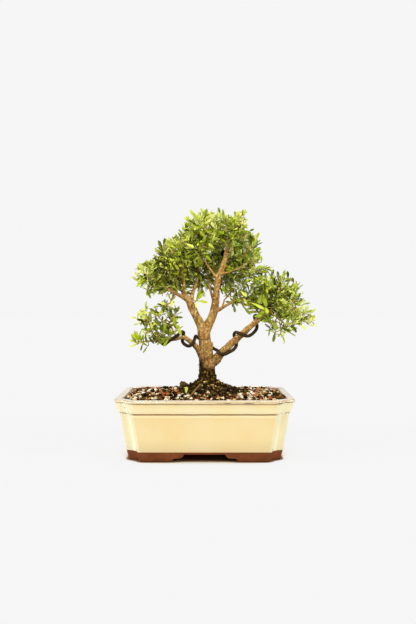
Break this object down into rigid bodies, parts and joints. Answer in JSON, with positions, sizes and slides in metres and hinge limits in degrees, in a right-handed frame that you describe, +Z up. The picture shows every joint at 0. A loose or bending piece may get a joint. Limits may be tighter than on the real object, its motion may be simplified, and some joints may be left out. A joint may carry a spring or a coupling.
{
  "type": "potted boxwood bonsai",
  "caption": "Small-leaved boxwood bonsai with a forked trunk, wired low branches and leaf pads, in a footed rectangular glazed pot.",
  "frame": {"origin": "middle of the whole outline seen from above, on the surface that the pot's feet stand on", "axes": "+Z up the tree, +X to the viewer's right along the pot's length, -Y towards the viewer"},
  "size_m": [0.236, 0.152, 0.29],
  "materials": {
    "glaze": "gloss",
    "bare_clay": "matte",
    "growing_medium": "matte",
    "pumice": "matte",
    "lava": "matte",
    "moss": "matte",
    "bark": "matte",
    "bark_chip": "matte",
    "training_wire": "satin",
    "clip": "satin",
    "screen": "matte",
    "leaf": "satin",
    "bud": "matte"
  },
  "bodies": {
    "root": {"pot": "glaze", "drain_screen_left": "screen", "screen_clip_left": "clip", "drain_screen_right": "screen", "screen_clip_right": "clip", "growing_medium": "growing_medium", "bark_chip": "bark_chip", "shed_leaf": "leaf", "trunk_and_branches": "bark", "training_wire": "training_wire", "leaves_lower_left_tip": "leaf", "leaves_lower_left_front": "leaf", "leaves_lower_left_upper": "leaf", "leaves_lower_left_far": "leaf", "leaves_upper_left_outer": "leaf", "leaves_upper_left_inner": "leaf", "leaves_upper_left_low": "leaf", "leaves_upper_left_top": "leaf", "leaves_upper_left_back": "leaf", "leaves_crown_left": "leaf", "leaves_crown_top": "leaf", "leaves_crown_right": "leaf", "leaves_crown_outer": "leaf", "leaves_crown_middle": "leaf", "leaves_crown_back": "leaf", "leaves_right_upper": "leaf", "leaves_right_lower": "leaf", "leaves_right_pad_top": "leaf", "leaves_right_pad_inner": "leaf", "leaves_right_pad_outer": "leaf", "leaves_right_pad_low": "leaf", "leaves_right_pad_back": "leaf", "leaves_right_pad_tip": "leaf", "leaves_fork_sprout": "leaf"}
  },
  "joints": []
}
